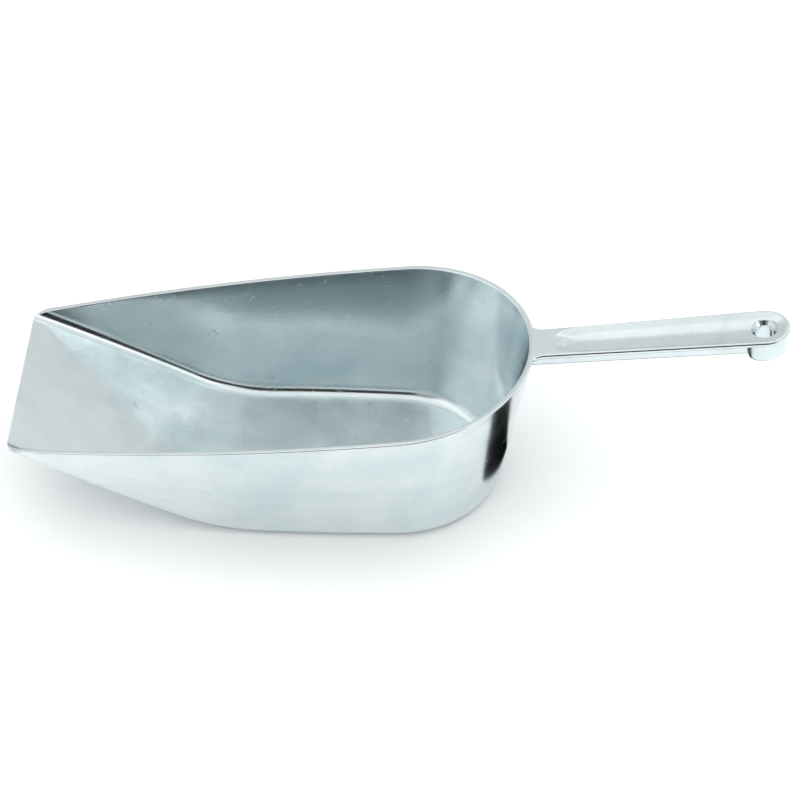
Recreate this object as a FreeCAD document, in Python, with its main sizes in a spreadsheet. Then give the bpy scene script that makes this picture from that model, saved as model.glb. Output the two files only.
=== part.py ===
"""One-hand feed scoop cast in aluminium: a drafted bowl and its T-section handle.

The scoop stands on the flat of its bowl.  Millimetres, +Z up, +X towards the handle.  The origin
is where the upright axis of the bowl's round rear end meets the surface that the scoop stands on.
"""
import FreeCAD, Part
import os

import Sketcher
from FreeCAD import Placement, Rotation, Vector

# Driving dimensions: alias, value in millimetres or degrees, what it is.
SIZES = [
    ("bowl_length", 253.0, "lip to the rear of the rim"),
    ("rear_radius", 66.5, "outer radius of the round rear end, at the rim"),
    ("side_radius", 1060.0, "outer radius of the long bowed sides, at the rear rim's height"),
    ("widest_ahead", 39.0, "how far ahead of the rear end's axis the bowl is widest"),
    ("rear_height", 85.0, "height of the rim at the rear"),
    ("lip_height", 53.5, "height of the lip's upper edge"),
    ("draft", 10.0, "lean of the walls from upright"),
    ("wall", 2.6, "thickness of walls and floor"),
    ("ramp_ahead", 88.0, "rear end's axis to where the ramp starts"),
    ("ramp_blend", 96.0, "outer radius between the flat and the ramp"),
    ("lip_round", 8.0, "plan radius of the lip's two corners"),
    ("inner_round", 6.0, "inner radius between floor and walls"),
    ("handle_length", 122.3, "rear of the rim to the handle's tip, along the handle"),
    ("neck_width", 20.0, "width of the handle's plate at the rim"),
    ("end_radius", 12.3, "radius of the handle's round end"),
    ("plate", 2.6, "thickness of the handle's plate"),
    ("neck_round", 6.8, "plan radius between plate and rim"),
    ("rib_width", 12.0, "width of the rib under the plate"),
    ("neck_depth", 9.8, "depth of the handle over plate and rib at the rim"),
    ("rib_depth", 12.0, "depth of the handle over plate and rib at the boss"),
    ("boss_radius", 10.8, "radius of the boss round the hanging hole"),
    ("boss_depth", 13.5, "depth of the handle over plate and boss"),
    ("trough_start", 12.0, "rear of the rim to the thumb trough"),
    ("trough_margin", 1.9, "flat land left beside the trough"),
    ("trough_corner", 5.0, "plan radius of the trough's two front corners"),
    ("trough_depth", 1.6, "depth of the trough along its middle"),
    ("trough_radius", 45.0, "radius of the trough's hollow section"),
    ("trough_lean", 50.0, "lean of the trough's edges from upright"),
    ("hole_radius", 4.75, "radius of the hanging hole"),
    ("sink_radius", 6.4, "radius of the hole's countersunk mouths"),
    ("sink_depth", 1.7, "depth of each countersink"),
]

HEADROOM = 6.0  # how far the tall blanks of the bowl stand above its rim before they are trimmed
FRONT_SPARE = 16.0  # how far those blanks run on ahead of the lip
ROOT = 8.0  # how far the handle's blank runs in past the rim before it is cut to the wall
SPARE = 20.0  # overrun of cutting blocks past what they cut

# Sizes that follow from the driving ones.
LIP_AHEAD = "(Sizes.bowl_length - Sizes.rear_radius)"
RAMP_REACH = f"({LIP_AHEAD} - Sizes.ramp_ahead)"
RAMP_ANGLE = (
    f"(acos(Sizes.wall / sqrt(Sizes.lip_height ^ 2 + {RAMP_REACH} ^ 2))"
    f" - atan({RAMP_REACH} / Sizes.lip_height))"
)
BLEND_AHEAD = f"(Sizes.ramp_ahead - Sizes.ramp_blend * tan({RAMP_ANGLE} / 2))"
PITCH = "atan((Sizes.rear_height - Sizes.lip_height) / Sizes.bowl_length)"
WALL_LEVEL = "(Sizes.wall / cos(Sizes.draft))"
LIP_SIDE = "(Sizes.side_radius - (Sizes.rear_height - Sizes.lip_height) * tan(Sizes.draft))"
LIP_BEHIND = f"({LIP_AHEAD} - Sizes.widest_ahead)"
LIP_HALF = (
    f"(sqrt({LIP_SIDE} ^ 2 - {LIP_BEHIND} ^ 2)"
    " - sqrt((Sizes.side_radius - Sizes.rear_radius) ^ 2 - Sizes.widest_ahead ^ 2))"
)
LIP_FLARE = f"asin({LIP_BEHIND} / {LIP_SIDE})"
BLANK_HEIGHT = f"(Sizes.rear_height + {HEADROOM})"
BLANK_FRONT = f"({LIP_AHEAD} + {FRONT_SPARE})"
HOLE_AHEAD = "(Sizes.handle_length - Sizes.end_radius)"

ORIGIN = (-1, 1)  # Sketcher's own name for a sketch's origin
START, END, CENTRE = 1, 2, 3

doc = FreeCAD.newDocument("feed_scoop")


def make_sheet():
    """Put the driving dimensions in the document's spreadsheet."""
    sheet = doc.addObject("Spreadsheet::Sheet", "Sizes")
    for row, (alias, value, note) in enumerate(SIZES, start=1):
        sheet.set(f"A{row}", note)
        sheet.set(f"B{row}", str(value))
        sheet.setAlias(f"B{row}", alias)
    doc.recompute()
    return sheet


SHEET = make_sheet()


def add(kind, name, links=None, **expressions):
    """Add an object, point it at what it is made from and bind its sizes to the sheet."""
    thing = doc.addObject(kind, name)
    for key, value in (links or {}).items():
        setattr(thing, key, value)
    for key, expression in expressions.items():
        thing.setExpression(key.replace("__", "."), expression)
    return thing


def constrain(sketch, kind, *where, size=None, guess=0.0):
    """Add one constraint, and bind its size if it has one."""
    if size is None:
        sketch.addConstraint(Sketcher.Constraint(kind, *where))
        return
    number = sketch.addConstraint(Sketcher.Constraint(kind, *where, guess))
    sketch.setExpression(f"Constraints[{number}]", size)


def line(sketch, first, second):
    """Draw a line between two points given as (x, y)."""
    return sketch.addGeometry(Part.LineSegment(Vector(*first, 0), Vector(*second, 0)), False)


def arc(sketch, centre, radius, first, last):
    """Draw an arc, anticlockwise from one angle in degrees to another."""
    turn = FreeCAD.Units.parseQuantity("1 deg").getValueAs("rad").Value
    circle = Part.Circle(Vector(*centre, 0), Vector(0, 0, 1), radius)
    return sketch.addGeometry(Part.ArcOfCircle(circle, first * turn, last * turn), False)


def solved(sketch):
    """Recompute the sketch and insist that it is fully held by its constraints."""
    doc.recompute()
    if sketch.solve() != 0:
        raise RuntimeError(f"{sketch.Name} can't be solved")
    return sketch


def plan_outline(name, inset):
    """Sketch the bowl seen from above, drawn in by inset, at the top of the tall blanks."""
    sketch = add("Sketcher::SketchObject", name, Placement__Base__z=BLANK_HEIGHT)
    rear = arc(sketch, (0, 0), 67, -88, 88)
    left = arc(sketch, (-39, -990), 1060, 88, 98)
    right = arc(sketch, (-39, 990), 1060, 262, 272)
    front = line(sketch, (-200, 57), (-200, -57))
    grown = f"{HEADROOM} * tan(Sizes.draft) - {inset}"
    constrain(sketch, "Coincident", rear, CENTRE, *ORIGIN)
    constrain(sketch, "Radius", rear, size=f"Sizes.rear_radius + {grown}", guess=67)
    for side, rear_end, side_rear, side_front, front_end in (
        (left, END, START, END, START),
        (right, START, END, START, END),
    ):
        constrain(sketch, "Tangent", rear, rear_end, side, side_rear)
        constrain(sketch, "Radius", side, size=f"Sizes.side_radius + {grown}", guess=1060)
        constrain(sketch, "DistanceX", side, CENTRE, *ORIGIN, size="Sizes.widest_ahead", guess=39)
        constrain(sketch, "Coincident", side, side_front, front, front_end)
    constrain(sketch, "Vertical", front)
    constrain(sketch, "DistanceX", front, START, *ORIGIN, size=BLANK_FRONT, guess=200)
    return solved(sketch)


def side_profile(name, lift):
    """Sketch, from the side, all that lies above the bottom when it is raised by lift."""
    sketch = add("Sketcher::SketchObject", name)
    sketch.Placement = Placement(Vector(), Rotation(Vector(1, 0, 0), 90))
    flat = line(sketch, (-65, 0), (80, 0))
    rear = line(sketch, (80, 0), (80, 95))
    top = line(sketch, (80, 95), (-200, 95))
    front = line(sketch, (-200, 95), (-200, 58))
    ramp = line(sketch, (-200, 58), (-108, 10))
    blend = arc(sketch, (-65, 96), 96, 243, 270)
    for before, after in ((flat, rear), (rear, top), (top, front), (front, ramp)):
        constrain(sketch, "Coincident", before, END, after, START)
    constrain(sketch, "Tangent", ramp, END, blend, START)
    constrain(sketch, "Tangent", blend, END, flat, START)
    constrain(sketch, "Horizontal", flat)
    constrain(sketch, "Horizontal", top)
    constrain(sketch, "Vertical", rear)
    constrain(sketch, "Vertical", front)
    constrain(sketch, "Radius", blend, size=f"Sizes.ramp_blend - {lift}", guess=96)
    constrain(sketch, "DistanceX", blend, CENTRE, *ORIGIN, size=BLEND_AHEAD, guess=65)
    constrain(sketch, "DistanceY", *ORIGIN, blend, CENTRE, size="Sizes.ramp_blend", guess=96)
    constrain(sketch, "DistanceX", *ORIGIN, rear, START, size=f"Sizes.rear_radius + {SPARE}", guess=80)
    constrain(sketch, "DistanceX", top, END, *ORIGIN, size=f"{BLANK_FRONT} + {SPARE}", guess=220)
    constrain(sketch, "DistanceY", *ORIGIN, top, START, size=f"{BLANK_HEIGHT} + {SPARE}", guess=105)
    constrain(sketch, "Angle", ramp, START, -1, START, size=RAMP_ANGLE, guess=0.47)
    return solved(sketch)


def block(name, outline, direction, length, **expressions):
    """Push a sketch along a direction into a solid."""
    return add(
        "Part::Extrusion",
        name,
        {"Base": outline, "DirMode": "Custom", "Dir": Vector(*direction), "Solid": True},
        LengthFwd=length,
        **expressions,
    )


def both(name, kind, base, tool):
    """Combine two solids: Part::Common, Part::Cut or Part::Fuse."""
    return add(kind, name, {"Base": base, "Tool": tool})


def rounded(name, base, radius, numbers):
    """Round the numbered edges of base with a radius from the sheet."""
    thing = add("Part::Fillet", name, {"Base": base})
    size = SHEET.evalExpression(radius)
    thing.Edges = [(number, size, size) for number in numbers]
    return thing


def lean(face):
    """Return how far a face's outward normal points up, from -1 to 1."""
    first_u, last_u, first_v, last_v = face.ParameterRange
    return face.normalAt((first_u + last_u) / 2, (first_v + last_v) / 2).z


def foot_edges(shape):
    """Number the edges where the blank's bottom meets its side and rear walls."""
    down = [edge for face in shape.Faces if lean(face) < -0.5 for edge in face.Edges]
    walls = [edge for face in shape.Faces if abs(lean(face)) < 0.5 for edge in face.Edges]
    return [
        number
        for number, edge in enumerate(shape.Edges, start=1)
        if edge.BoundBox.XLength > 1
        and any(edge.isSame(other) for other in down)
        and any(edge.isSame(other) for other in walls)
    ]


def tall_blank(name, inset, lift):
    """Make a solid of the bowl's plan and side shapes, taller and longer than the bowl."""
    plan = block(
        f"{name}_plan",
        plan_outline(f"{name}_outline", inset),
        (0, 0, -1),
        BLANK_HEIGHT,
        TaperAngle="-Sizes.draft",
    )
    side = block(
        f"{name}_side",
        side_profile(f"{name}_profile", lift),
        (0, 1, 0),
        f"2 * Sizes.rear_radius + {SPARE}",
    )
    side.Symmetric = True
    return both(f"{name}_sharp", "Part::Common", plan, side)


def bowl_blank(name, inset, lift, foot_radius):
    """Make the tall blank with its foot rounded."""
    sharp = tall_blank(name, inset, lift)
    doc.recompute()
    return rounded(f"{name}_blank", sharp, foot_radius, foot_edges(sharp.Shape))


def rim_trim():
    """Make the block under the rim's sloping plane and behind the lip."""
    sketch = add("Sketcher::SketchObject", "trim_profile")
    sketch.Placement = Placement(Vector(), Rotation(Vector(1, 0, 0), 90))
    under = line(sketch, (-186, -20), (86, -20))
    rear = line(sketch, (86, -20), (86, 87))
    rim = line(sketch, (86, 87), (-186, 53))
    lip = line(sketch, (-186, 53), (-186, -20))
    for before, after in ((under, rear), (rear, rim), (rim, lip), (lip, under)):
        constrain(sketch, "Coincident", before, END, after, START)
    constrain(sketch, "Horizontal", under)
    constrain(sketch, "Vertical", rear)
    constrain(sketch, "Vertical", lip)
    constrain(sketch, "DistanceY", under, START, *ORIGIN, size=f"{SPARE}", guess=20)
    constrain(sketch, "DistanceX", *ORIGIN, rear, START, size=f"Sizes.rear_radius + {SPARE}", guess=86)
    constrain(sketch, "DistanceX", lip, START, *ORIGIN, size=LIP_AHEAD, guess=186)
    constrain(sketch, "DistanceY", *ORIGIN, lip, START, size="Sizes.lip_height", guess=53)
    constrain(sketch, "Angle", -1, START, rim, END, size=PITCH, guess=0.12)
    trim = block("trim", solved(sketch), (0, 1, 0), f"2 * Sizes.rear_radius + {SPARE}")
    trim.Symmetric = True
    return trim


def lip_trim():
    """Make the upright block that keeps all but the lip's two corners, which it rounds."""
    sketch = add("Sketcher::SketchObject", "lip_outline", Placement__Base__z=BLANK_HEIGHT)
    front = line(sketch, (-186, 44), (-186, -44))
    right = line(sketch, (-186, -44), (86, -82))
    rear = line(sketch, (86, -82), (86, 82))
    left = line(sketch, (86, 82), (-186, 44))
    for before, after in ((front, right), (right, rear), (rear, left), (left, front)):
        constrain(sketch, "Coincident", before, END, after, START)
    constrain(sketch, "Vertical", rear)
    constrain(sketch, "Symmetric", front, START, front, END, -1)
    constrain(sketch, "DistanceX", front, START, *ORIGIN, size=LIP_AHEAD, guess=186)
    constrain(sketch, "DistanceY", *ORIGIN, front, START, size=LIP_HALF, guess=44)
    constrain(sketch, "DistanceX", *ORIGIN, rear, END, size=f"Sizes.rear_radius + {SPARE}", guess=86)
    constrain(sketch, "Angle", -1, START, left, END, size=LIP_FLARE, guess=0.14)
    constrain(sketch, "Angle", right, START, -1, START, size=LIP_FLARE, guess=0.14)
    prism = block("lip_prism", solved(sketch), (0, 0, -1), f"{BLANK_HEIGHT} + {SPARE}")
    doc.recompute()
    corners = [
        number
        for number, edge in enumerate(prism.Shape.Edges, start=1)
        if edge.BoundBox.ZLength > 1 and edge.BoundBox.XMax < 0
    ]
    return rounded("lip_trim", prism, "Sizes.lip_round", corners)


def bowl():
    """Make the bowl, and return it with the solid blank that its outside comes from."""
    outer = bowl_blank("outer", "0", "0", "Sizes.inner_round + Sizes.wall")
    cavity = bowl_blank("cavity", WALL_LEVEL, "Sizes.wall", "Sizes.inner_round")
    level = both("level", "Part::Common", outer, rim_trim())
    trimmed = both("trimmed", "Part::Common", level, lip_trim())
    return both("bowl", "Part::Cut", trimmed, cavity), outer


def plate_outline():
    """Sketch the handle's plate: flared into the rim, widening to a round end."""
    sketch = add("Sketcher::SketchObject", "plate_outline")
    tip = arc(sketch, (110, 0), 12.3, -89, 89)
    left = line(sketch, (110, 12.3), (3, 10.5))
    right = line(sketch, (3, -10.5), (110, -12.3))
    left_flare = arc(sketch, (3.3, 15.5), 5, 192, 270)
    right_flare = arc(sketch, (3.3, -15.5), 5, 90, 168)
    root = line(sketch, (-8, 14), (-8, -14))
    left_root = line(sketch, (-1.6, 14.4), (-8, 14))
    right_root = line(sketch, (-8, -14), (-1.6, -14.4))
    constrain(sketch, "PointOnObject", tip, CENTRE, -1)
    constrain(sketch, "DistanceX", *ORIGIN, tip, CENTRE, size=HOLE_AHEAD, guess=110)
    constrain(sketch, "Radius", tip, size="Sizes.end_radius", guess=12.3)
    constrain(sketch, "Tangent", tip, END, left, START)
    constrain(sketch, "Tangent", left, END, left_flare, END)
    constrain(sketch, "Coincident", left_flare, START, left_root, START)
    constrain(sketch, "Coincident", left_root, END, root, START)
    constrain(sketch, "Coincident", root, END, right_root, START)
    constrain(sketch, "Coincident", right_root, END, right_flare, END)
    constrain(sketch, "Tangent", right_flare, START, right, START)
    constrain(sketch, "Tangent", right, END, tip, START)
    constrain(sketch, "Radius", left_flare, size="Sizes.neck_round", guess=5)
    constrain(sketch, "Equal", left_flare, right_flare)
    constrain(sketch, "Vertical", left_flare, CENTRE, right_flare, CENTRE)
    constrain(sketch, "Symmetric", left_flare, START, right_flare, END, -1)
    constrain(sketch, "DistanceY", *ORIGIN, left, END, size="Sizes.neck_width / 2", guess=10.5)
    flare_ahead = (
        "sqrt((Sizes.rear_radius + Sizes.neck_round) ^ 2"
        " - (Sizes.neck_width / 2 + Sizes.neck_round) ^ 2) - Sizes.rear_radius"
    )
    constrain(sketch, "DistanceX", *ORIGIN, left_flare, CENTRE, size=flare_ahead, guess=3.3)
    touch = (
        "(Sizes.neck_width / 2 + Sizes.neck_round)"
        " * Sizes.rear_radius / (Sizes.rear_radius + Sizes.neck_round)"
    )
    constrain(sketch, "DistanceY", *ORIGIN, left_flare, START, size=touch, guess=14.4)
    constrain(sketch, "Vertical", root)
    constrain(sketch, "DistanceX", root, START, *ORIGIN, size=f"{ROOT}", guess=8)
    constrain(sketch, "Horizontal", left_root)
    constrain(sketch, "Horizontal", right_root)
    return solved(sketch)


def rib_profile():
    """Sketch the rib from the side, deepening from the neck to the hole."""
    sketch = add("Sketcher::SketchObject", "rib_profile")
    sketch.Placement = Placement(Vector(), Rotation(Vector(1, 0, 0), 90))
    top = line(sketch, (-8, 0), (110, 0))
    tip = line(sketch, (110, 0), (110, -12))
    under = line(sketch, (110, -12), (0, -9))
    heel = line(sketch, (0, -9), (-8, -9))
    root = line(sketch, (-8, -9), (-8, 0))
    for before, after in ((top, tip), (tip, under), (under, heel), (heel, root), (root, top)):
        constrain(sketch, "Coincident", before, END, after, START)
    constrain(sketch, "Horizontal", top)
    constrain(sketch, "Horizontal", heel)
    constrain(sketch, "Vertical", tip)
    constrain(sketch, "Vertical", root)
    constrain(sketch, "PointOnObject", top, START, -1)
    constrain(sketch, "PointOnObject", heel, START, -2)
    constrain(sketch, "DistanceX", *ORIGIN, top, END, size=HOLE_AHEAD, guess=110)
    constrain(sketch, "DistanceX", root, START, *ORIGIN, size=f"{ROOT}", guess=8)
    constrain(sketch, "DistanceY", heel, START, *ORIGIN, size="Sizes.neck_depth", guess=9)
    constrain(sketch, "DistanceY", tip, END, *ORIGIN, size="Sizes.rib_depth", guess=12)
    return solved(sketch)


def trough_outline():
    """Sketch the thumb trough, set in from the plate's outline."""
    sketch = add("Sketcher::SketchObject", "trough_outline")
    tip = arc(sketch, (110, 0), 10.4, -89, 89)
    left = line(sketch, (110, 10.4), (12, 8.6))
    front = line(sketch, (12, 8.6), (12, -8.6))
    right = line(sketch, (12, -8.6), (110, -10.4))
    constrain(sketch, "PointOnObject", tip, CENTRE, -1)
    constrain(sketch, "DistanceX", *ORIGIN, tip, CENTRE, size=HOLE_AHEAD, guess=110)
    constrain(sketch, "Radius", tip, size="Sizes.end_radius - Sizes.trough_margin", guess=10.4)
    constrain(sketch, "Tangent", tip, END, left, START)
    constrain(sketch, "Coincident", left, END, front, START)
    constrain(sketch, "Coincident", front, END, right, START)
    constrain(sketch, "Tangent", right, END, tip, START)
    constrain(sketch, "Vertical", front)
    constrain(sketch, "DistanceX", *ORIGIN, front, START, size="Sizes.trough_start", guess=12)
    half = "Sizes.neck_width / 2 - Sizes.trough_margin"
    constrain(sketch, "DistanceY", *ORIGIN, front, START, size=half, guess=8.6)
    return solved(sketch)


def upright(name, radius, height, foot):
    """Stand a cylinder on the handle's hole axis, its foot at a height given by an expression."""
    return add(
        "Part::Cylinder",
        name,
        Radius=radius,
        Height=height,
        Placement__Base__x=HOLE_AHEAD,
        Placement__Base__z=foot,
    )


def trough():
    """Make the solid that hollows the trough: a drafted outline with a round-bottomed section."""
    prism = block(
        "trough_prism",
        trough_outline(),
        (0, 0, -1),
        "Sizes.plate",
        TaperAngle="-Sizes.trough_lean",
    )
    doc.recompute()
    corners = [
        number
        for number, edge in enumerate(prism.Shape.Edges, start=1)
        if edge.BoundBox.ZLength > 1 and edge.BoundBox.XMax < prism.Shape.BoundBox.Center.x
    ]
    soft = rounded("trough_soft", prism, "Sizes.trough_corner", corners)
    roller = add(
        "Part::Cylinder",
        "trough_roller",
        Radius="Sizes.trough_radius",
        Height="Sizes.handle_length",
    )
    roller.Placement = Placement(Vector(), Rotation(Vector(0, 1, 0), 90))
    roller.setExpression("Placement.Base.z", "Sizes.trough_radius - Sizes.trough_depth")
    return both("trough", "Part::Common", soft, roller)


def countersink(name, mouth, inward):
    """Make the cone that opens one mouth of the hanging hole."""
    up = inward < 0
    return add(
        "Part::Cone",
        name,
        Radius1="Sizes.hole_radius" if up else "Sizes.sink_radius",
        Radius2="Sizes.sink_radius" if up else "Sizes.hole_radius",
        Height="Sizes.sink_depth",
        Placement__Base__x=HOLE_AHEAD,
        Placement__Base__z=f"{mouth} - Sizes.sink_depth" if up else mouth,
    )


def handle(bowl_solid):
    """Make the handle along its own X axis, tilt it to the rim and cut it to the bowl's wall."""
    plate = block("plate", plate_outline(), (0, 0, -1), "Sizes.plate")
    rib = block("rib", rib_profile(), (0, 1, 0), "Sizes.rib_width")
    rib.Symmetric = True
    boss = upright("boss", "Sizes.boss_radius", "Sizes.boss_depth", "-Sizes.boss_depth")
    form = both("plate_rib", "Part::Fuse", plate, rib)
    form = both("plate_rib_boss", "Part::Fuse", form, boss)
    form = both("hollowed", "Part::Cut", form, trough())
    bore = upright("bore", "Sizes.hole_radius", "Sizes.boss_depth", "-Sizes.boss_depth")
    form = both("bored", "Part::Cut", form, bore)
    mouth = upright("mouth", "Sizes.sink_radius", "Sizes.trough_depth", "-Sizes.trough_depth")
    form = both("mouthed", "Part::Cut", form, mouth)
    form = both("sunk_top", "Part::Cut", form, countersink("top_sink", "-Sizes.trough_depth", -1))
    form = both("sunk", "Part::Cut", form, countersink("bottom_sink", "-Sizes.boss_depth", 1))
    form.Placement = Placement(Vector(), Rotation(Vector(0, 1, 0), 0))
    form.setExpression("Placement.Rotation.Angle", f"-{PITCH}")
    form.setExpression("Placement.Base.x", "Sizes.rear_radius")
    form.setExpression("Placement.Base.z", "Sizes.rear_height")
    return both("handle", "Part::Cut", form, bowl_solid)


def write(pieces):
    """Check the whole document, then write each piece to its own file."""
    doc.recompute()
    for thing in doc.Objects:
        if {"Invalid", "Error"} & set(thing.State):
            raise RuntimeError(f"{thing.Name} failed: {thing.State}")
    for piece in pieces:
        if piece.Shape.isNull() or not piece.Shape.isValid() or len(piece.Shape.Solids) != 1:
            raise RuntimeError(f"{piece.Label} isn't one sound solid")
    os.makedirs("parts", exist_ok=True)
    for piece in pieces:
        piece.Shape.exportStep(f"parts/{piece.Label}.step")
        print(piece.Label, round(piece.Shape.Volume / 1000, 1), "cm3", piece.Shape.BoundBox)


bowl_piece, bowl_outside = bowl()
write([bowl_piece, handle(bowl_outside)])
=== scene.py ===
"""A feed scoop cast in aluminium and buffed bright, with an open bowl and a T-section handle.

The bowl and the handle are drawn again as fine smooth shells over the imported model, because a
polished surface shows every facet.  Sizes are millimetres here and metres in the meshes.
"""

import logging
import math
from collections.abc import Iterable, Sequence
from dataclasses import dataclass, field
from enum import Enum

import bmesh
import bpy
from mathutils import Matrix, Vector

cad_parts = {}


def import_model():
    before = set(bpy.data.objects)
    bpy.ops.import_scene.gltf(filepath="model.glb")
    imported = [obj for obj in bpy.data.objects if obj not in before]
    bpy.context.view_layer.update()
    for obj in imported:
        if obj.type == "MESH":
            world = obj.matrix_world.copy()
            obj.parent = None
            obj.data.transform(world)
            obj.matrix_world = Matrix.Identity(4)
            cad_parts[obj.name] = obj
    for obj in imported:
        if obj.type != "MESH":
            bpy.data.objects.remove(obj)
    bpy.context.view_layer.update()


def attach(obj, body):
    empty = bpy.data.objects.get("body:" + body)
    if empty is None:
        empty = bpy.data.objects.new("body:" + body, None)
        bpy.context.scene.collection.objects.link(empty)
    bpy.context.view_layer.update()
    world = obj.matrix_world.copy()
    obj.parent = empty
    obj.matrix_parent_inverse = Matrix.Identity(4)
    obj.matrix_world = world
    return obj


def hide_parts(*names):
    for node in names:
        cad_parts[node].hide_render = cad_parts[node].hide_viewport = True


MM = 0.001
WELD = 0.004  # points nearer than this, in millimetres, become one
FLAT_WEIGHT = 80  # how firmly a large flat face keeps its own normal beside a rounding
LOG = logging.getLogger("scoop")

# How many spans each stretch of a shell is drawn with.
FLOOR_SPANS = 22
CORNER_SPANS = 14
WALL_SPANS = 16
EDGE_SPANS = 4
ROUND_SPANS = 6
FOOT_SPANS = 8
TOP_SPANS = 34
BASE_SPANS = 10
HOLE_SPANS = 64
PANEL_SPANS = 12

# Rounds that find where a surface meets the rim's slope.
HALVINGS = 40
SETTLINGS = 30

Point = tuple[float, float, float]
Pair = tuple[float, float]


class Slot(Enum):
    """The record's material slots."""

    CASTING = "casting"


def linear(hex_colour: str) -> tuple[float, float, float, float]:
    """Turn an sRGB hex colour into linear red, green, blue and alpha.

    Args:
        hex_colour: six hex digits, with or without a leading hash.

    Returns:
        The four linear channels that a shader socket takes.
    """
    digits = hex_colour.lstrip("#")
    channels = [int(digits[at : at + 2], 16) / 255 for at in (0, 2, 4)]
    curved = [c / 12.92 if c <= 0.04045 else ((c + 0.055) / 1.055) ** 2.4 for c in channels]
    return (curved[0], curved[1], curved[2], 1.0)


def mix(start: float, end: float, share: float) -> float:
    """Return the value a share of the way from start to end."""
    return start + (end - start) * share


def quarter_turn(spans: int) -> list[float]:
    """Return the angles from 0 to a right angle, in radians, that a number of spans needs."""
    return [math.radians(90 * step / spans) for step in range(spans + 1)]


def smooth_min(first: float, second: float, softness: float) -> float:
    """Return the lesser of two values, rounding the corner where they cross.

    Args:
        first: one value.
        second: the other value.
        softness: how far apart the values are when the rounding ends.

    Returns:
        The rounded minimum.
    """
    near = max(softness - abs(first - second), 0) / softness
    return min(first, second) - near * near * softness / 4


@dataclass
class Grid:
    """A mesh made of rows of points, each row joined to the next."""

    points: list[Point] = field(default_factory=list)
    faces: list[tuple[int, ...]] = field(default_factory=list)

    def add_rows(self, rows: Sequence[Sequence[Point]]) -> None:
        """Add rows of equal length, with a face between each four neighbours.

        Args:
            rows: points in millimetres.
        """
        start, width = len(self.points), len(rows[0])
        for row in rows:
            self.points.extend(row)
        for down in range(len(rows) - 1):
            for along in range(width - 1):
                first = start + down * width + along
                self.faces.append((first, first + 1, first + width + 1, first + width))

    def add_cap(self, ring: Iterable[Point]) -> None:
        """Close a flat ring of points with one face."""
        start = len(self.points)
        self.points.extend(ring)
        self.faces.append(tuple(range(start, len(self.points))))

    def to_object(self, name: str, mirror: bool = True) -> bpy.types.Object:
        """Make the Blender object, closed and with its faces outwards.

        Args:
            name: the object's name.
            mirror: copy the rows to the other side of the upright middle plane.

        Returns:
            The object, linked to the scene, at the origin.
        """
        points, faces = list(self.points), list(self.faces)
        if mirror:
            count = len(points)
            points += [(x, -y, z) for x, y, z in self.points]
            faces += [tuple(count + corner for corner in reversed(face)) for face in self.faces]
        mesh = bpy.data.meshes.new(name)
        mesh.from_pydata([Vector(point) * MM for point in points], [], faces)
        build = bmesh.new()
        build.from_mesh(mesh)
        bmesh.ops.remove_doubles(build, verts=build.verts, dist=WELD * MM)
        bmesh.ops.recalc_face_normals(build, faces=build.faces)
        build.to_mesh(mesh)
        build.free()
        thing = bpy.data.objects.new(name, mesh)
        bpy.context.scene.collection.objects.link(thing)
        return thing


def finish_surface(thing: bpy.types.Object, sharp_degrees: float) -> None:
    """Shade a piece smooth, keeping its true edges, with flat faces left flat.

    Args:
        thing: the piece.
        sharp_degrees: edges that turn by more than this stay crisp.
    """
    thing.data.polygons.foreach_set("use_smooth", [True] * len(thing.data.polygons))
    thing.data.set_sharp_from_angle(angle=math.radians(sharp_degrees))
    weighted = thing.modifiers.new("even_normals", "WEIGHTED_NORMAL")
    weighted.keep_sharp = True
    weighted.weight = FLAT_WEIGHT


@dataclass(frozen=True)
class Station:
    """An upright plane through the bowl: across it at x, or out from the rear end's axis."""

    x: float = 0.0
    angle: float | None = None

    def place(self, distance: float) -> Pair:
        """Plan position of a point at a distance from the middle."""
        if self.angle is None:
            return self.x, distance
        return distance * math.cos(self.angle), distance * math.sin(self.angle)

    def lift(self, distance: float, height: float) -> Point:
        """Position of a point at a distance from the middle and a height."""
        x, y = self.place(distance)
        return x, y, height


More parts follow.
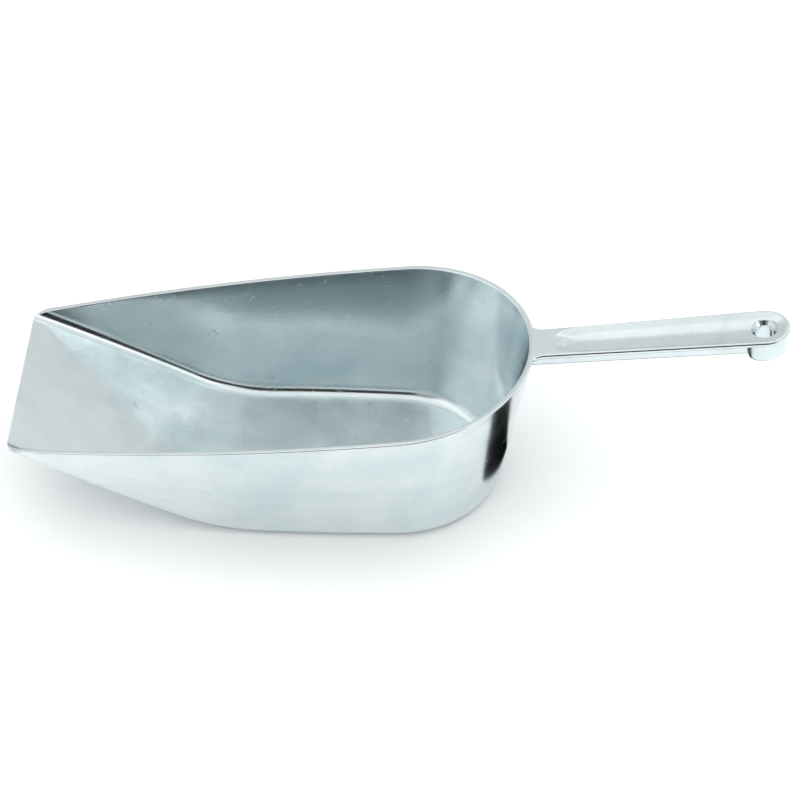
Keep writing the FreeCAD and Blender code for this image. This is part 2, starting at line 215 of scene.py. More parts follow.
@dataclass
class BowlShell:
    """The bowl: drafted walls round a flat that ramps up to a straight lip.

    It stands on z = 0 with the axis of its round rear end at the origin, and its lip towards -X.
    """

    length: float = 253.0
    rear_radius: float = 66.5
    side_radius: float = 1060.0  # of the long sides, in plan
    widest_ahead: float = 39.0  # from the rear end's axis to the widest place
    rear_height: float = 85.0
    lip_height: float = 53.5
    draft: float = math.radians(10)
    wall: float = 2.6
    ramp_ahead: float = 88.0  # from the rear end's axis to where flat and ramp would meet
    ramp_blend: float = 96.0  # radius that blends them
    inner_round: float = 6.0
    lip_round: float = 8.0
    edge_round: float = 0.55
    lip_zone: float = 12.0  # stretch behind the lip that is drawn finely
    crisp_degrees: float = 50.0

    @property
    def lip_ahead(self) -> float:
        """How far the lip lies ahead of the rear end's axis."""
        return self.length - self.rear_radius

    @property
    def pitch(self) -> float:
        """Slope of the rim, in radians."""
        return math.atan((self.rear_height - self.lip_height) / self.length)

    @property
    def ramp(self) -> float:
        """Slope of the ramp, in radians, that brings the inner floor to the lip's edge."""
        reach = self.lip_ahead - self.ramp_ahead
        span = math.hypot(self.lip_height, reach)
        return math.acos(self.wall / span) - math.atan(reach / self.lip_height)

    def rim(self, x: float) -> float:
        """Height of the rim's plane at x."""
        return self.lip_height + (x + self.lip_ahead) * math.tan(self.pitch)

    def floor(self, x: float, lift: float) -> Pair:
        """Height and slope of the bottom, raised square to itself.

        Args:
            x: place along the bowl.
            lift: how far above the outer bottom.

        Returns:
            The height, and the slope in radians.
        """
        radius = self.ramp_blend - lift
        blend_x = -self.ramp_ahead + self.ramp_blend * math.tan(self.ramp / 2)
        if x >= blend_x:
            return lift, 0.0
        if x >= blend_x - radius * math.sin(self.ramp):
            turn = math.asin((blend_x - x) / radius)
            return self.ramp_blend - radius * math.cos(turn), turn
        rise = (-self.ramp_ahead - x) * math.tan(self.ramp)
        return rise + lift / math.cos(self.ramp), self.ramp

    def reach(self, station: Station, z: float, inset: float) -> float:
        """Distance from the middle to the wall, in a station's plane.

        Args:
            station: the upright plane that cuts the bowl.
            z: height of the cut.
            inset: how far inside the outer wall, square to it.

        Returns:
            The distance.
        """
        shrink = (self.rear_height - z) * math.tan(self.draft) + inset / math.cos(self.draft)
        rear, side = self.rear_radius - shrink, self.side_radius - shrink
        deep = math.sqrt((side - rear) ** 2 - self.widest_ahead**2)
        if station.angle is None:
            return math.sqrt(side**2 - (station.x + self.widest_ahead) ** 2) - deep
        if station.angle <= math.atan2(deep, self.widest_ahead):
            return rear
        along = -self.widest_ahead * math.cos(station.angle) - deep * math.sin(station.angle)
        return along + math.sqrt(along**2 - self.widest_ahead**2 - deep**2 + side**2)

    def stations(self) -> list[Station]:
        """Return the upright planes, from the lip round to the rear."""
        near = [self.edge_round * (1 - math.cos(turn)) for turn in quarter_turn(ROUND_SPANS)]
        lip_spans, side_spans, rear_spans = 28, 70, 56
        dense = [self.edge_round + self.lip_zone * (at / lip_spans) ** 2 for at in range(1, lip_spans + 1)]
        start = dense[-1] - self.lip_ahead
        sides = [mix(start, 0, at / side_spans) for at in range(1, side_spans)]
        places = [ahead - self.lip_ahead for ahead in near + dense] + sides
        turns = reversed(quarter_turn(rear_spans))
        return [Station(x=x) for x in places] + [Station(angle=turn) for turn in turns]

    def nip(self, station: Station) -> float:
        """How far the lip's rounded edge draws both faces in at a station."""
        if station.angle is not None:
            return 0.0
        ahead = station.x + self.lip_ahead
        if ahead >= self.edge_round:
            return 0.0
        return self.edge_round - math.sqrt(max(self.edge_round**2 - (self.edge_round - ahead) ** 2, 0))

    def face(self, station: Station, inset: float, corner: float, nip: float) -> list[Pair]:
        """Follow one face of the shell in a station's plane, from the middle up to the rim.

        Args:
            station: the upright plane.
            inset: depth of this face inside the outer one.
            corner: radius between the floor and the wall.
            nip: how far the rim is lowered here.

        Returns:
            Pairs of distance from the middle, and height.
        """
        stretch, base = 1.0, inset
        if station.angle is None:
            base, slope = self.floor(station.x, inset)
            stretch = 1 / math.cos(slope)
        lean = math.atan(math.tan(self.draft) * stretch)
        high = base + corner * stretch
        middle = self.reach(station, high, inset) - corner / math.cos(lean)

        def rim_at(distance: float) -> float:
            """Height of the rim above a point of this plane."""
            return self.rim(station.place(distance)[0]) - nip

        def on_arc(turn: float) -> Pair:
            """Point of the corner's arc, turned up from straight down."""
            return middle + corner * math.sin(turn), high - corner * stretch * math.cos(turn)

        full = math.pi / 2 - lean
        turn_end = full
        if on_arc(full)[1] > rim_at(on_arc(full)[0]):
            low_turn = 0.0
            for _ in range(HALVINGS):
                trial = (low_turn + turn_end) / 2
                distance, height = on_arc(trial)
                if height > rim_at(distance):
                    turn_end = trial
                else:
                    low_turn = trial
        points = [(middle * step / FLOOR_SPANS, base) for step in range(FLOOR_SPANS)]
        points += [on_arc(turn_end * step / CORNER_SPANS) for step in range(CORNER_SPANS + 1)]
        if turn_end < full:
            return points + [points[-1]] * WALL_SPANS
        foot = top = points[-1][1]
        for _ in range(SETTLINGS):
            top = rim_at(self.reach(station, top, inset))
        for step in range(1, WALL_SPANS + 1):
            height = mix(foot, top, step / WALL_SPANS)
            points.append((self.reach(station, height, inset), height))
        return points

    def section(self, station: Station) -> list[Point]:
        """Return the shell's whole section in a station's plane, outside, rim and inside."""
        nip = self.nip(station)
        outer = self.face(station, nip, self.inner_round + self.wall - nip, nip)
        inner = self.face(station, self.wall - nip, self.inner_round, nip)
        edges = self.land(outer[-1], inner[-1])
        middle = len(edges) // 2
        outside = outer[:-1] + edges[:middle]
        inside = edges[middle:] + list(reversed(inner[:-1]))
        outer, inner = self.clip(station, outside, inside)
        return [station.lift(*pair) for pair in outer + inner]

    def clip(
        self, station: Station, outer: list[Pair], inner: list[Pair]
    ) -> tuple[list[Pair], list[Pair]]:
        """Cut a section off beside the lip's rounded corners.

        Args:
            station: the upright plane.
            outer: points up the outside to the middle of the rim.
            inner: points from there down the inside to the middle.

        Returns:
            Both lists, cut off.
        """
        ahead = station.x + self.lip_ahead
        if station.angle is not None or ahead >= self.lip_round:
            return outer, inner
        front = Station(x=-self.lip_ahead)
        flare = math.asin((self.lip_ahead - self.widest_ahead) / self.side_radius)
        corner = self.reach(front, self.lip_height, 0) + ahead * math.tan(flare)
        turn = self.lip_round - math.sqrt(max(self.lip_round**2 - (self.lip_round - ahead) ** 2, 0))
        limit = corner - turn
        ceiling = max(height for _, height in outer + inner)
        for (far, high), (near, low) in zip(inner, inner[1:]):
            if far > limit >= near:
                ceiling = mix(low, high, (limit - near) / (far - near))
        outer = [(limit, min(high, ceiling)) if out > limit else (out, high) for out, high in outer]
        inner = [(limit, ceiling) if out > limit else (out, high) for out, high in inner]
        return outer, inner

    def land(self, outer: Pair, inner: Pair) -> list[Pair]:
        """Cross the rim from the outer wall to the inner one, rounding both edges.

        Args:
            outer: top of the outer face.
            inner: top of the inner face.

        Returns:
            Points across the rim.
        """
        width = outer[0] - inner[0]
        soft = min(self.edge_round, width / 3)
        turns = quarter_turn(EDGE_SPANS)
        points = []
        for turn in turns:
            points.append((outer[0] - soft * (1 - math.cos(turn)), outer[1] - soft * (1 - math.sin(turn))))
        for turn in reversed(turns):
            points.append((inner[0] + soft * (1 - math.cos(turn)), inner[1] - soft * (1 - math.sin(turn))))
        return points

    def build(self) -> bpy.types.Object:
        """Build the bowl's mesh."""
        sections = [self.section(station) for station in self.stations()]
        shell = Grid()
        shell.add_rows(sections)
        lip = sections[0]
        half = len(lip) // 2
        shell.add_rows([lip[:half], list(reversed(lip[-half:]))])
        thing = shell.to_object("bowl_casting")
        finish_surface(thing, self.crisp_degrees)
        return thing


@dataclass
class HandleBar:
    """The handle: a plate with a thumb trough over a rib, with a boss round the hanging hole.

    Its own axes start at the rear of the rim: u out along the handle, y across it, and w square
    to the plate, up from the plate's top.
    """

    bowl: BowlShell
    length: float = 122.3
    neck_width: float = 20.0
    end_radius: float = 12.3
    plate: float = 2.6
    neck_round: float = 6.8
    rib_width: float = 12.0
    neck_depth: float = 9.8
    rib_depth: float = 12.0
    boss_radius: float = 10.8
    boss_depth: float = 13.5
    trough_start: float = 12.0
    trough_margin: float = 1.9
    trough_corner: float = 5.0
    trough_depth: float = 1.6
    trough_radius: float = 45.0
    trough_slope: float = 0.8  # of the banks at the sides
    trough_runout: float = 0.35  # of the bank past the hole
    trough_entry: float = 0.4  # of the bank at the neck
    trough_soft: float = 1.0  # width over which the top bends down into a bank
    trough_blend: float = 0.9  # the same, from a bank into the bottom
    hole_radius: float = 4.75
    sink_radius: float = 6.4
    sink_depth: float = 1.7
    edge_round: float = 1.15
    rib_round: float = 1.6
    plate_fillet: float = 1.4
    neck_flare: float = 0.985  # the most of the neck's fillet that is followed towards the rim
    boss_swell: float = 1.2  # length over which the rib's depth becomes the boss's
    overlap: float = 1.7  # how far the root runs into the bowl's wall
    root_length: float = 9.0  # how far out the sections still lean with the bowl's wall
    root_behind: float = 1.5  # how far behind the rim's rear the first section takes its shape
    root_lift: float = 0.02  # keeps the root's top just above the rim's land
    least_gap: float = 0.05  # least width of the plate's underside beside the rib
    round_share: float = 0.9  # the most of a narrow width that a rounding may take
    fine_step: float = 0.5  # between sections where the trough begins
    crisp_degrees: float = 32.0

    @property
    def hole_ahead(self) -> float:
        """Distance from the rim's rear to the hole's centre."""
        return self.length - self.end_radius

    @property
    def boss_start(self) -> float:
        """Where the boss comes out of the rib's side."""
        return self.hole_ahead - math.sqrt(self.boss_radius**2 - self.rib_width**2 / 4)

    def half_width(self, u: float) -> float:
        """Half the plate's width at u along the handle."""
        rear, soft, neck = self.bowl.rear_radius, self.neck_round, self.neck_width / 2
        ahead = math.sqrt((rear + soft) ** 2 - (neck + soft) ** 2) - rear
        if u < ahead:
            bend = min(ahead - u, soft * self.neck_flare)
            return neck + soft - math.sqrt(soft**2 - bend**2)
        return mix(neck, self.end_radius, min((u - ahead) / (self.hole_ahead - ahead), 1))

    def rib_half(self, u: float) -> float:
        """Half the width of the rib, or of the boss where that is wider."""
        across = self.boss_radius**2 - (u - self.hole_ahead) ** 2
        return max(self.rib_width / 2, math.sqrt(max(across, 0)))

    def depth_at(self, u: float) -> float:
        """Depth of the handle over the rib, or over the boss where u reaches it."""
        rib = mix(self.neck_depth, self.rib_depth, min(max(u / self.hole_ahead, 0), 1))
        return mix(rib, self.boss_depth, min(max((u - self.boss_start) / self.boss_swell, 0), 1))

    def hollow(self, u: float, y: float) -> float:
        """Depth of the thumb trough under a point of the plate's top."""
        past = max(u - self.hole_ahead, 0)
        across = math.hypot(past, y)
        half = self.half_width(u) if past == 0 else self.end_radius
        side = half - self.trough_margin - across
        front = (u - self.trough_start) * self.trough_entry
        if side < self.trough_corner and front < self.trough_corner:
            side_gap, front_gap = self.trough_corner - side, self.trough_corner - front
            inside = self.trough_corner - math.hypot(side_gap, front_gap)
        else:
            inside = min(side, front)
        slope = mix(self.trough_slope, self.trough_runout, past / across if past > 0 else 0)
        bottom = self.trough_depth - across**2 / (2 * self.trough_radius)
        edge = max(inside + self.trough_soft, 0)
        bank = slope * edge**2 / (edge + 2 * self.trough_soft)
        return max(smooth_min(bottom, bank, self.trough_blend), 0) if edge > 0 else 0.0

    def profile(self, half: float, rib: float, depth: float) -> list[tuple[float, float, bool]]:
        """Half of the T section: distance out, height, and whether it is the plate's top.

        Args:
            half: half the plate's width.
            rib: half the rib's width.
            depth: depth over the rib.

        Returns:
            Points from the top's middle round to the bottom's middle.
        """
        turns = quarter_turn(ROUND_SPANS)
        soft = self.edge_round
        top = half - soft
        points = [(top * step / TOP_SPANS, 0.0, True) for step in range(TOP_SPANS + 1)]
        for turn in turns[1:]:
            points.append((top + soft * math.sin(turn), -soft * (1 - math.cos(turn)), False))
        under = -self.plate
        for turn in turns:
            points.append((top + soft * math.cos(turn), under + soft * (1 - math.sin(turn)), False))
        gap = max(top - rib, self.least_gap)
        inner = min(self.plate_fillet, gap * self.round_share)
        for turn in turns:
            out = rib + inner * (1 - math.sin(turn))
            points.append((out, under - inner * (1 - math.cos(turn)), False))
        foot = min(self.rib_round, rib * self.round_share)
        low = -depth + foot
        for step in range(1, ROUND_SPANS):
            points.append((rib, mix(under - inner, low, step / ROUND_SPANS), False))
        for turn in quarter_turn(FOOT_SPANS):
            points.append((rib - foot * (1 - math.cos(turn)), low - foot * math.sin(turn), False))
        flat = rib - foot
        for step in range(1, BASE_SPANS + 1):
            points.append((flat * (1 - step / BASE_SPANS), -depth, False))
        return points

    def wall_at(self, y: float, w: float) -> float:
        """How far along the handle the bowl's outer wall stands, beside y and below the rim."""
        bowl = self.bowl
        height = bowl.rear_height + w * math.cos(bowl.pitch)
        radius = bowl.rear_radius - (bowl.rear_height - height) * math.tan(bowl.draft)
        out = math.sqrt(max(radius**2 - y**2, 0)) - bowl.rear_radius
        return (out + w * math.sin(bowl.pitch)) / math.cos(bowl.pitch)

    def row(self, u: float) -> list[Point]:
        """Section of the handle across it at u, in the handle's own axes."""
        half, rib = self.half_width(u), self.rib_half(u)
        made = []
        for y, w, is_top in self.profile(half, rib, self.depth_at(u)):
            made.append((u, y, w - self.hollow(u, y) if is_top else w))
        return made

    def root_rows(self) -> list[list[Point]]:
        """Sections from inside the bowl's wall out to the plain bar, following the wall."""
        spans, crowding = 24, 1.6
        rows = []
        for step in range(spans + 1):
            share = (step / spans) ** crowding
            made = []
            for _, y, w in self.row(mix(-self.root_behind, self.root_length, share)):
                start = self.wall_at(y, w) - self.overlap
                lift = self.root_lift * (1 - share)
                made.append((mix(start, self.root_length, share), y, w + lift))
            rows.append(made)
        return rows

    def end_rows(self) -> list[list[Point]]:
        """Sections turned about the hole's axis, round the handle's end."""
        spans = 40
        rows = []
        for turn in reversed(quarter_turn(spans)[:-1]):
            made = []
            for out, w, is_top in self.profile(self.end_radius, self.boss_radius, self.boss_depth):
                u, y = self.hole_ahead + out * math.cos(turn), out * math.sin(turn)
                made.append((u, y, w - self.hollow(u, y) if is_top else w))
            rows.append(made)
        return rows

    def tilt(self, point: Point) -> Point:
        """Move a point from the handle's axes to the scoop's."""
        u, y, w = point
        turn = self.bowl.pitch
        x = self.bowl.rear_radius + u * math.cos(turn) - w * math.sin(turn)
        return x, y, self.bowl.rear_height + u * math.sin(turn) + w * math.cos(turn)

    def bar_rows(self) -> list[list[Point]]:
        """Sections straight across the bar, crowded at the trough's start and at the boss."""
        entry_spans, plain_spans, swell_spans, boss_spans = 29, 44, 6, 14
        plain_end = self.boss_start - self.fine_step
        swell_end = self.boss_start + self.boss_swell
        entry = [self.root_length + self.fine_step * step for step in range(1, entry_spans + 1)]
        plain = [mix(entry[-1], plain_end, step / plain_spans) for step in range(1, plain_spans + 1)]
        swell = [mix(self.boss_start, swell_end, step / swell_spans) for step in range(swell_spans + 1)]
        boss = [mix(swell_end, self.hole_ahead, step / boss_spans) for step in range(1, boss_spans + 1)]
        return [self.row(u) for u in entry + plain + swell + boss]

    def body(self) -> bpy.types.Object:
        """Build the handle without its hole."""
        rows = self.root_rows() + self.bar_rows() + self.end_rows()
        solid = Grid()
        solid.add_rows([[self.tilt(point) for point in row] for row in rows])
        root = [self.tilt(point) for point in rows[0]]
        solid.add_cap(root + [(x, -y, z) for x, y, z in reversed(root[1:-1])])
        return solid.to_object("handle_casting")

    def hole_tool(self) -> bpy.types.Object:
        """Build the turned shape that the hanging hole and its countersinks take out."""
        floor, foot = -self.trough_depth, -self.boss_depth
        above, below = 3.0, foot - 2.0
        outline = [
            (0.0, above),
            (self.sink_radius, above),
            (self.sink_radius, floor),
            (self.hole_radius, floor - self.sink_depth),
            (self.hole_radius, foot + self.sink_depth),
            (self.sink_radius, foot),
            (self.sink_radius, below),
            (0.0, below),
        ]
        rows = []
        for step in range(HOLE_SPANS + 1):
            turn = math.tau * step / HOLE_SPANS
            made = []
            for out, w in outline:
                made.append(self.tilt((self.hole_ahead + out * math.cos(turn), out * math.sin(turn), w)))
            rows.append(made)
        solid = Grid()
        solid.add_rows(rows)
        return solid.to_object("hole_tool", mirror=False)

    def build(self) -> bpy.types.Object:
        """Build the handle with its hole."""
        thing, tool = self.body(), self.hole_tool()
        cut = thing.modifiers.new("hole", "BOOLEAN")
        cut.operation, cut.solver, cut.object = "DIFFERENCE", "EXACT", tool
        graph = bpy.context.evaluated_depsgraph_get()
        mesh = bpy.data.meshes.new_from_object(thing.evaluated_get(graph))
        thing.modifiers.remove(cut)
        thing.data = mesh
        bpy.data.objects.remove(tool)
        finish_surface(thing, self.crisp_degrees)
        return thing


def add_node(
    tree: bpy.types.NodeTree,
    kind: str,
    inputs: dict[str | int, object] | None = None,
    links: dict[str | int, bpy.types.NodeSocket] | None = None,
    **settings: object,
) -> bpy.types.Node:
    """Add a node with its settings, values and links.

    Args:
        tree: the tree that gets the node.
        kind: the node's type name.
        inputs: values for its input sockets, by name or number.
        links: sockets to link into its inputs, by name or number.
        **settings: the node's own properties.

    Returns:
        The node.
    """
    node = tree.nodes.new(kind)
    for key, value in settings.items():
        setattr(node, key, value)
    for key, value in (inputs or {}).items():
        node.inputs[key].default_value = value
    for key, socket in (links or {}).items():
        tree.links.new(socket, node.inputs[key])
    return node


def noise(
    tree: bpy.types.NodeTree, place: bpy.types.NodeSocket, size: float, **shape: float
) -> bpy.types.NodeSocket:
    """Add soft noise.

    Args:
        tree: the material's tree.
        place: the coordinates, in metres.
        size: how far apart its patches lie, in millimetres.
        **shape: its other inputs, such as Detail and Roughness.

    Returns:
        The noise, from 0 to 1.
    """
    inputs = {"Scale": 1 / (size * MM), **shape}
    return add_node(tree, "ShaderNodeTexNoise", inputs=inputs, links={"Vector": place}).outputs["Fac"]


def remap(
    tree: bpy.types.NodeTree, value: bpy.types.NodeSocket, source: Pair, target: Pair
) -> bpy.types.NodeSocket:
    """Stretch a value from one range to another, held at its ends.

    Args:
        tree: the material's tree.
        value: the value.
        source: the range it comes in.
        target: the range it leaves in.

    Returns:
        The stretched value.
    """
    inputs = {"From Min": source[0], "From Max": source[1], "To Min": target[0], "To Max": target[1]}
    return add_node(tree, "ShaderNodeMapRange", inputs=inputs, links={"Value": value}).outputs["Result"]


@dataclass(frozen=True)
class CastAluminium:
    """Cast aluminium, buffed on a wheel: bright and cool grey.

    The eye gets faint lengthwise buffing lines, clouds of duller metal where the wheel pressed
    less, small dark casting pits, and fine scratches left by use.
    """

    name: str = "buffed_cast_aluminium"
    colour: str = "#E3EBED"
    dull_colour: str = "#D0DDE0"
    pit_colour: str = "#8F9A9E"
    roughness: float = 0.14
    dull_roughness: float = 0.23
    scratch_roughness: float = 0.3
    lengthwise: Point = (0.05, 0.4, 1.0)  # draws the noise out along the scoop, as lines
    line_gap: float = 0.8  # drawn coarser than the wheel's real grit, which is too fine to show
    cloud_size: float = 38.0
    streak_size: float = 9.0
    streak_share: float = 0.45
    worn_range: Pair = (0.56, 0.92)
    pit_gap: float = 3.4
    pit_range: Pair = (0.02, 0.085)
    scratch_gap: float = 16.0
    scratch_width: float = 0.006
    scratch_patch: float = 11.0
    scratch_range: Pair = (0.55, 0.62)
    line_relief: Pair = (0.12, 0.05)  # strength, and depth in millimetres
    wave_relief: Pair = (0.10, 0.6)
    pit_relief: Pair = (0.35, 0.12)
    scratch_relief: Pair = (0.25, 0.05)

    def build(self) -> bpy.types.Material:
        """Make the material."""
        material = bpy.data.materials.new(self.name)
        material.use_nodes = True
        tree = material.node_tree
        tree.nodes.clear()
        place = add_node(tree, "ShaderNodeTexCoord").outputs["Object"]
        along = add_node(
            tree, "ShaderNodeMapping", inputs={"Scale": self.lengthwise}, links={"Vector": place}
        ).outputs["Vector"]
        lines = noise(tree, along, self.line_gap, Detail=3.0, Roughness=0.6)
        streaks = noise(tree, along, self.streak_size, Detail=5.0, Roughness=0.65)
        clouds = noise(tree, place, self.cloud_size, Detail=6.0, Roughness=0.62, Distortion=0.6)
        blend = add_node(
            tree,
            "ShaderNodeMath",
            operation="MULTIPLY_ADD",
            inputs={1: self.streak_share},
            links={0: streaks, 2: clouds},
        ).outputs["Value"]
        worn = remap(tree, blend, self.worn_range, (0.0, 1.0))
        pits = self.pits(tree, place)
        scratches = self.scratches(tree, place)
        shader = add_node(
            tree,
            "ShaderNodeBsdfPrincipled",
            inputs={"Metallic": 1.0},
            links={
                "Base Color": self.tint(tree, worn, pits),
                "Roughness": self.gloss(tree, worn, scratches),
                "Normal": self.relief(tree, lines, clouds, pits, scratches),
            },
        )
        add_node(tree, "ShaderNodeOutputMaterial", links={"Surface": shader.outputs["BSDF"]})
        return material

    def tint(
        self, tree: bpy.types.NodeTree, worn: bpy.types.NodeSocket, pits: bpy.types.NodeSocket
    ) -> bpy.types.NodeSocket:
        """Colour the metal: paler where buffed, greyer where dull, dark in the pits."""
        metal = add_node(
            tree,
            "ShaderNodeMix",
            data_type="RGBA",
            inputs={6: linear(self.colour), 7: linear(self.dull_colour)},
            links={"Factor": worn},
        ).outputs[2]
        return add_node(
            tree,
            "ShaderNodeMix",
            data_type="RGBA",
            inputs={7: linear(self.pit_colour)},
            links={"Factor": pits, 6: metal},
        ).outputs[2]

    def gloss(
        self, tree: bpy.types.NodeTree, worn: bpy.types.NodeSocket, scratches: bpy.types.NodeSocket
    ) -> bpy.types.NodeSocket:
        """Roughen the metal where it is dull or scratched."""
        smooth = remap(tree, worn, (0.0, 1.0), (self.roughness, self.dull_roughness))
        return add_node(
            tree,
            "ShaderNodeMath",
            operation="MULTIPLY_ADD",
            use_clamp=True,
            inputs={1: self.scratch_roughness},
            links={0: scratches, 2: smooth},
        ).outputs["Value"]

    def relief(
        self,
        tree: bpy.types.NodeTree,
        lines: bpy.types.NodeSocket,
        clouds: bpy.types.NodeSocket,
        pits: bpy.types.NodeSocket,
        scratches: bpy.types.NodeSocket,
    ) -> bpy.types.NodeSocket:
        """Raise the buffing lines and the casting's waves, and sink the pits and scratches.

        Args:
            tree: the material's tree.
            lines: the buffing lines.
            clouds: the casting's slow waves.
            pits: mask of the pits.
            scratches: mask of the scratches.

        Returns:
            The bent normal.
        """
        layers = [
            (lines, self.line_relief, False),
            (clouds, self.wave_relief, False),
            (pits, self.pit_relief, True),
            (scratches, self.scratch_relief, True),
        ]
        links: dict[str | int, bpy.types.NodeSocket] = {}
        for height, (strength, depth), sunk in layers:
            bump = add_node(
                tree,
                "ShaderNodeBump",
                inputs={"Strength": strength, "Distance": depth * MM},
                links={"Height": height, **links},
                invert=sunk,
            )
            links = {"Normal": bump.outputs["Normal"]}
        return links["Normal"]

    def pits(self, tree: bpy.types.NodeTree, place: bpy.types.NodeSocket) -> bpy.types.NodeSocket:
        """Scatter the casting pits.

        Args:
            tree: the material's tree.
            place: the coordinates, in metres.

        Returns:
            A mask, 1 in a pit.
        """
        away = add_node(
            tree,
            "ShaderNodeTexVoronoi",
            inputs={"Scale": 1 / (self.pit_gap * MM), "Randomness": 1.0},
            links={"Vector": place},
        ).outputs["Distance"]
        return remap(tree, away, self.pit_range, (1.0, 0.0))

    def scratches(
        self, tree: bpy.types.NodeTree, place: bpy.types.NodeSocket
    ) -> bpy.types.NodeSocket:
        """Draw thin crossing scratches that come and go along the surface.

        Args:
            tree: the material's tree.
            place: the coordinates, in metres.

        Returns:
            A mask, 1 in a scratch.
        """
        bent = noise(tree, place, self.scratch_gap, Detail=1.0, Distortion=1.5)
        centred = add_node(
            tree, "ShaderNodeMath", operation="SUBTRACT", inputs={1: 0.5}, links={0: bent}
        ).outputs["Value"]
        apart = add_node(
            tree, "ShaderNodeMath", operation="ABSOLUTE", links={0: centred}
        ).outputs["Value"]
        thin = remap(tree, apart, (0.0, self.scratch_width), (1.0, 0.0))
        patches = noise(tree, place, self.scratch_patch, Detail=2.0)
        present = remap(tree, patches, self.scratch_range, (0.0, 1.0))
        return add_node(
            tree, "ShaderNodeMath", operation="MULTIPLY", links={0: thin, 1: present}
        ).outputs["Value"]


def show_in_gloss_only(thing: bpy.types.Object) -> None:
    """Hide a piece of the studio from all but the metal's reflections."""
    thing.visible_camera = False
    thing.visible_diffuse = False
    thing.visible_shadow = False


@dataclass(frozen=True)
class Panel:
    """A soft panel, or a dark flag, that stands round the studio and shows only in gloss.

    Its edges are given as angles seen from the scoop: turned anticlockwise from +X, and up from
    the floor, all in degrees.
    """

    name: str
    turn_from: float
    turn_to: float
    rise_from: float
    rise_to: float
    glow: float
    distance: float = 3000.0

    def corner(self, along: float, up: float) -> Point:
        """Place a point of the panel from its shares along and up, in millimetres."""
        turn = math.radians(mix(self.turn_from, self.turn_to, along))
        rise = math.radians(mix(self.rise_from, self.rise_to, up))
        flat = self.distance * math.cos(rise)
        return flat * math.cos(turn), flat * math.sin(turn), self.distance * math.sin(rise)

    def build(self) -> bpy.types.Object:
        """Hang the panel as a curved sheet."""
        shares = [step / PANEL_SPANS for step in range(PANEL_SPANS + 1)]
        sheet = Grid()
        sheet.add_rows([[self.corner(along, up) for along in shares] for up in shares])
        thing = sheet.to_object(self.name, mirror=False)
        material = bpy.data.materials.new(self.name)
        material.use_nodes = True
        material.node_tree.nodes.clear()
        glow = add_node(
            material.node_tree,
            "ShaderNodeEmission",
            inputs={"Color": (1.0, 1.0, 1.0, 1.0), "Strength": self.glow},
        )
        outlet = {"Surface": glow.outputs["Emission"]}
        add_node(material.node_tree, "ShaderNodeOutputMaterial", links=outlet)
        thing.data.materials.append(material)
        show_in_gloss_only(thing)
        return thing


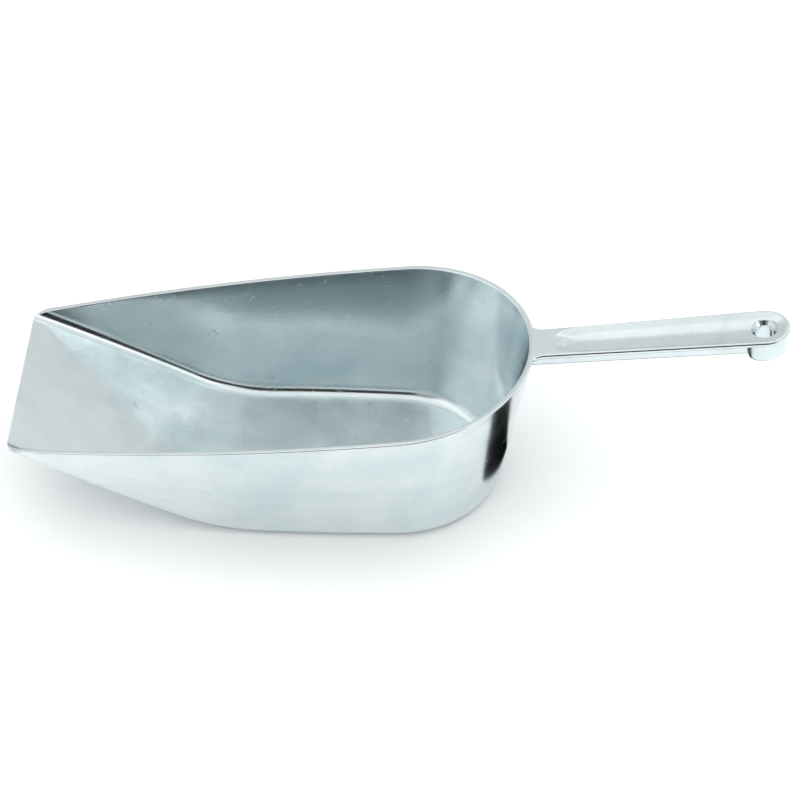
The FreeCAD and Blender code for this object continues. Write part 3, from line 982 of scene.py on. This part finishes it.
@dataclass
class Studio:
    """A pale floor in soft light, panels and flags that shape the gloss, and the camera."""

    azimuth: float = 1.884  # degrees round from -Y, towards the handle
    elevation: float = 43.19  # degrees up from the floor
    distance: float = 1230.0
    target: Point = (1.25, 0.0, 45.1)
    lens: float = 111.9
    sensor: float = 36.0
    clip_from: float = 50.0
    clip_to: float = 50000.0
    floor_colour: str = "#F5F6F6"  # matt paint that fades into the air and takes a soft shadow
    floor_reach: float = 6000.0
    floor_height: float = -0.1
    air_colour: str = "#F8F9F9"
    shade_sheet_colour: str = "#08090A"  # painted shade: a black sheet under the handle, seen only in reflections, that the bowl's rear wall shows as a dark stripe
    shade_sheet_low: Pair = (58.0, -27.0)
    shade_sheet_high: Pair = (190.0, 12.0)
    shade_sheet_height: float = 0.4
    lamp_place: Point = (0.0, -300.0, 1700.0)  # it faces the origin
    lamp_size: float = 2400.0
    lamp_watts: float = 18.0
    panels: tuple[Panel, ...] = (
        Panel("front_flag", 250, 315, 0.2, 50, 0.03),
        Panel("front_upper_flag", 250, 288, 50, 62, 0.03),
        Panel("front_left_card", 225, 250, 0.2, 62, 0.4),
        Panel("left_box", 150, 225, 37, 62, 1.25),
        Panel("back_card", 75, 150, 0.2, 45, 0.77),
        Panel("far_right_card", 45, 75, 0.2, 37, 0.78),
        Panel("far_right_box", 45, 75, 37, 62, 1.2),
        Panel("right_front_box", 315, 345, 37, 62, 1.45),
        Panel("back_high_box", 75, 150, 45, 62, 1.2),
        Panel("top_box", 0, 360, 62, 89, 1.05),
    )

    def paint(self, name: str, colour: str) -> bpy.types.Material:
        """Make a plain matt paint."""
        material = bpy.data.materials.new(name)
        material.use_nodes = True
        shader = material.node_tree.nodes["Principled BSDF"]
        shader.inputs["Base Color"].default_value = linear(colour)
        shader.inputs["Roughness"].default_value = 0.9
        shader.inputs["Specular IOR Level"].default_value = 0.0
        return material

    def sheet(
        self, name: str, low: Pair, high: Pair, height: float, paint: bpy.types.Material
    ) -> bpy.types.Object:
        """Lay a flat sheet in the studio.

        Args:
            name: the sheet's name.
            low: its corner of least x and y, in millimetres.
            high: its corner of most x and y, in millimetres.
            height: how high it lies, in millimetres.
            paint: its material.

        Returns:
            The sheet.
        """
        plan = [low, (high[0], low[1]), high, (low[0], high[1])]
        corners = [(x, y, height) for x, y in plan]
        mesh = bpy.data.meshes.new(name)
        mesh.from_pydata([Vector(corner) * MM for corner in corners], [], [(0, 1, 2, 3)])
        mesh.materials.append(paint)
        thing = bpy.data.objects.new(name, mesh)
        bpy.context.scene.collection.objects.link(thing)
        return thing

    def build(self) -> None:
        """Set up the stage, the lights and the camera."""
        pale, wide = self.paint("pale_floor", self.floor_colour), self.floor_reach
        self.sheet("floor", (-wide, -wide), (wide, wide), self.floor_height, pale)
        # Painted shade: a black sheet where the shade under the handle falls, seen only in the metal's
        # reflections.
        shade_paint = self.paint("painted_handle_shade", self.shade_sheet_colour)
        shade = self.sheet("handle_shade", self.shade_sheet_low, self.shade_sheet_high, self.shade_sheet_height, shade_paint)
        show_in_gloss_only(shade)
        for panel in self.panels:
            panel.build()
        world = bpy.data.worlds.new("studio")
        bpy.context.scene.world = world
        world.use_nodes = True
        air = world.node_tree.nodes["Background"]
        air.inputs["Color"].default_value = linear(self.air_colour)
        air.inputs["Strength"].default_value = 1.0
        self.lamp()
        bpy.context.scene.view_settings.view_transform = "Standard"
        self.camera()

    def lamp(self) -> None:
        """Hang a square softbox over the scoop."""
        light = bpy.data.lights.new("overhead", "AREA")
        light.size, light.energy = self.lamp_size * MM, self.lamp_watts
        thing = bpy.data.objects.new("overhead", light)
        thing.location = Vector(self.lamp_place) * MM
        thing.rotation_euler = (-Vector(self.lamp_place)).to_track_quat("-Z", "Y").to_euler()
        thing.visible_glossy = False
        bpy.context.scene.collection.objects.link(thing)

    def camera(self) -> None:
        """Place the camera."""
        turn, rise = math.radians(self.azimuth), math.radians(self.elevation)
        back = Vector((math.sin(turn) * math.cos(rise), -math.cos(turn) * math.cos(rise), math.sin(rise)))
        camera = bpy.data.cameras.new("camera")
        camera.lens, camera.sensor_width = self.lens, self.sensor
        camera.clip_start, camera.clip_end = self.clip_from * MM, self.clip_to * MM
        thing = bpy.data.objects.new("camera", camera)
        thing.location = Vector(self.target) * MM + back * self.distance * MM
        thing.rotation_euler = (-back).to_track_quat("-Z", "Y").to_euler()
        bpy.context.scene.collection.objects.link(thing)
        bpy.context.scene.camera = thing


def main() -> None:
    """Build the scoop and its studio."""
    logging.basicConfig(level=logging.INFO, format="%(name)s: %(message)s")
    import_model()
    metal = CastAluminium().build()
    bowl = BowlShell()
    pieces = {"bowl": bowl.build(), "handle": HandleBar(bowl).build()}
    for node, piece in pieces.items():
        piece.data.materials.clear()
        piece.data.materials.append(metal)
        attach(piece, "root")
        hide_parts(node)
        LOG.info("%s: %d faces", piece.name, len(piece.data.polygons))
    Studio().build()


if __name__ == "__main__":
    main()
